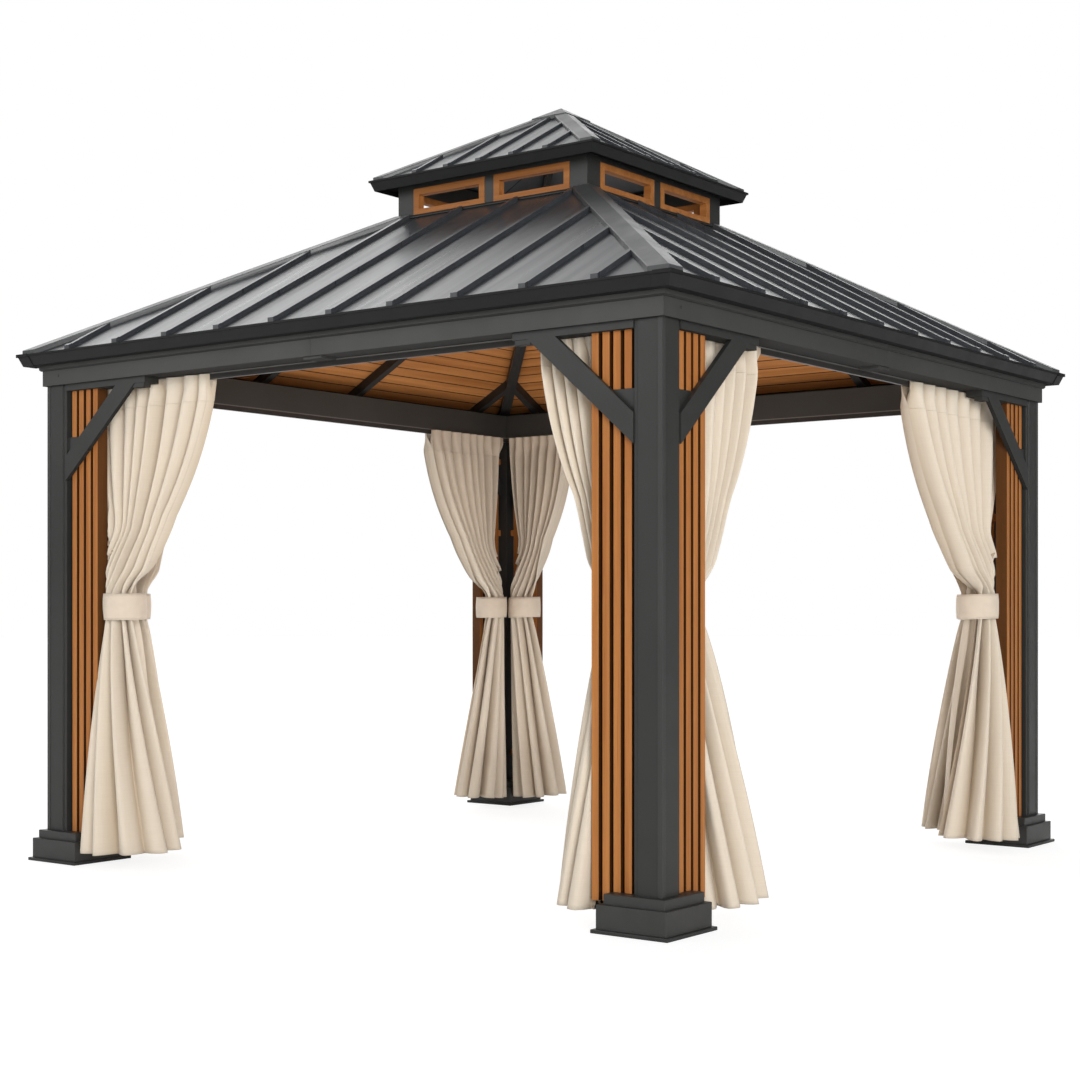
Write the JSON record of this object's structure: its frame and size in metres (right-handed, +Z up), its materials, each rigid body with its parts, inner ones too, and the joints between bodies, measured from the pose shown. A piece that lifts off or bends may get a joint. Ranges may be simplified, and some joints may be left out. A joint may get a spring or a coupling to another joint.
{
  "type": "metal gazebo",
  "caption": "Square open gazebo on slatted corner posts, with tied curtains and a ribbed two-tier hip roof with a vented cupola.",
  "frame": {"origin": "on the ground at the centre of the plan", "axes": "+Z up, -Y towards the front face, +X towards the right face"},
  "size_m": [3.1164, 3.1164, 3.0863],
  "materials": {
    "frame": "satin charcoal powder coat",
    "roof_sheet": "semi-gloss charcoal coated sheet",
    "roof_trim": "satin charcoal coated sheet",
    "wood_trim": "warm brown wood grain, satin",
    "ceiling_boards": "warm brown boards with dark joints, satin",
    "curtain_cloth": "plain beige woven polyester",
    "track": "dark anodised"
  },
  "bodies": {
    "root": {"apex_cap": "roof_trim", "base_covers": "frame", "beam_back": "frame", "beam_front": "frame", "beam_left": "frame", "beam_right": "frame", "braces_back_left": "frame", "braces_back_right": "frame", "braces_front_left": "frame", "braces_front_right": "frame", "ceiling_back": "ceiling_boards", "ceiling_front": "ceiling_boards", "ceiling_left": "ceiling_boards", "ceiling_right": "ceiling_boards", "cupola_eave": "frame", "cupola_head": "frame", "cupola_hip_caps": "roof_trim", "cupola_posts": "frame", "cupola_rafters": "frame", "cupola_roof": "roof_sheet", "cupola_sill": "frame", "cupola_windows": "wood_trim", "curtain_back_left_end": "curtain_cloth", "curtain_back_right_end": "curtain_cloth", "curtain_front_left_end": "curtain_cloth", "curtain_front_right_end": "curtain_cloth", "curtain_left_back_end": "curtain_cloth", "curtain_left_front_end": "curtain_cloth", "curtain_right_back_end": "curtain_cloth", "curtain_right_front_end": "curtain_cloth", "curtain_ties": "curtain_cloth", "curtain_tracks": "track", "foot_plates": "frame", "gutter_back": "frame", "gutter_corners": "frame", "gutter_front": "frame", "gutter_left": "frame", "gutter_right": "frame", "hip_caps": "roof_trim", "hip_rafters": "frame", "post_back_left": "frame", "post_back_right": "frame", "post_front_left": "frame", "post_front_right": "frame", "rafters": "frame", "roof_back": "roof_sheet", "roof_collar": "frame", "roof_front": "roof_sheet", "roof_left": "roof_sheet", "roof_right": "roof_sheet", "slat_wings_back_left": "wood_trim", "slat_wings_back_right": "wood_trim", "slat_wings_front_left": "wood_trim", "slat_wings_front_right": "wood_trim"}
  },
  "joints": []
}
